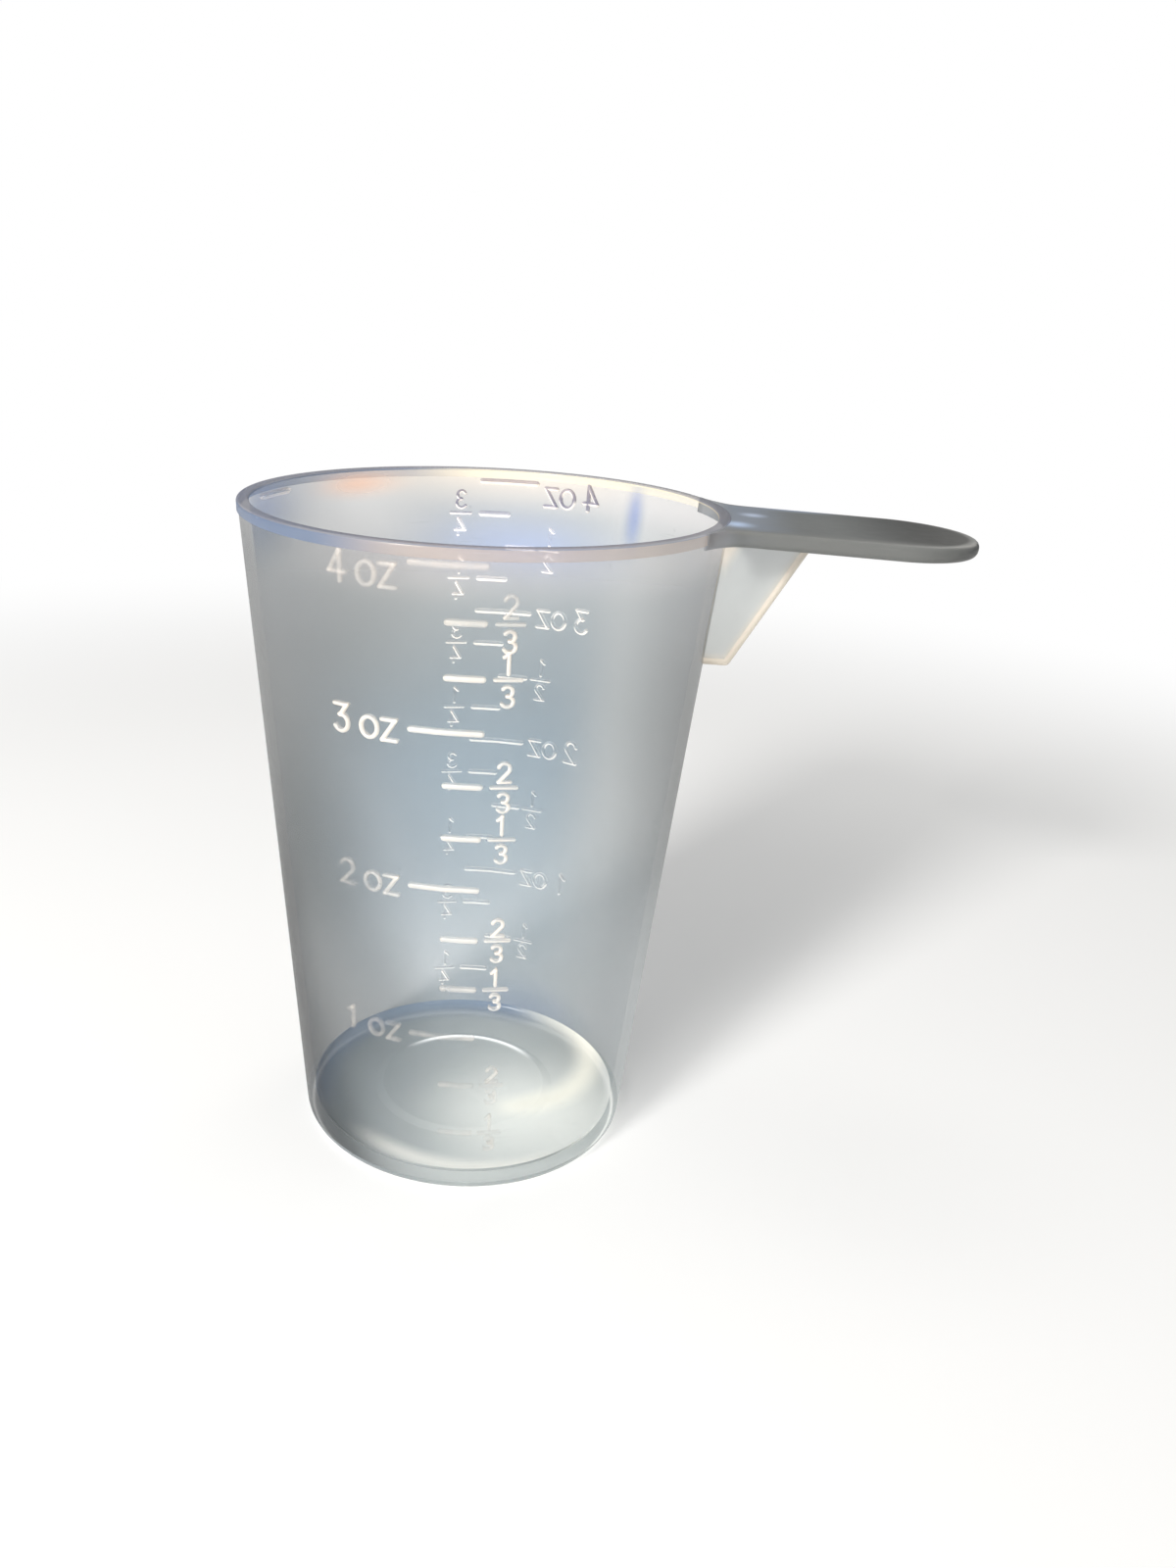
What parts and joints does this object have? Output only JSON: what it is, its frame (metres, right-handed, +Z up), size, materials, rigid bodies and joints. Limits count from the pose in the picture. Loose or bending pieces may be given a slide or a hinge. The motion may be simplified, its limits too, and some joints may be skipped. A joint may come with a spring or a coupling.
{
  "type": "measuring cup",
  "caption": "Small tapered translucent measuring cup with a rim bead, a flat round-ended handle on a gusset, and raised ounce lines on two sides.",
  "frame": {"origin": "middle of the flat underside, on the cup's axis", "axes": "+Z up along the cup's axis, +X along the handle away from the cup, +Y towards the side with the quarter-ounce lines"},
  "size_m": [0.0781, 0.0528, 0.0776],
  "materials": {
    "polypropylene": "natural translucent polypropylene, moulded satin gloss"
  },
  "bodies": {
    "root": {"cup_body": "polypropylene", "rim_bead": "polypropylene", "handle": "polypropylene", "handle_gusset": "polypropylene", "quarter_line_0_1": "polypropylene", "quarter_line_0_2": "polypropylene", "quarter_line_0_3": "polypropylene", "quarter_line_1_0": "polypropylene", "quarter_line_1_1": "polypropylene", "quarter_line_1_2": "polypropylene", "quarter_line_1_3": "polypropylene", "quarter_line_2_0": "polypropylene", "quarter_line_2_1": "polypropylene", "quarter_line_2_2": "polypropylene", "quarter_line_2_3": "polypropylene", "quarter_line_3_0": "polypropylene", "quarter_line_3_1": "polypropylene", "quarter_line_3_2": "polypropylene", "quarter_line_3_3": "polypropylene", "quarter_line_4_0": "polypropylene", "third_line_0_1": "polypropylene", "third_line_0_2": "polypropylene", "third_line_1_0": "polypropylene", "third_line_1_1": "polypropylene", "third_line_1_2": "polypropylene", "third_line_2_0": "polypropylene", "third_line_2_1": "polypropylene", "third_line_2_2": "polypropylene", "third_line_3_0": "polypropylene", "third_line_3_1": "polypropylene", "third_line_3_2": "polypropylene", "third_line_4_0": "polypropylene", "full_line": "polypropylene"}
  },
  "joints": []
}
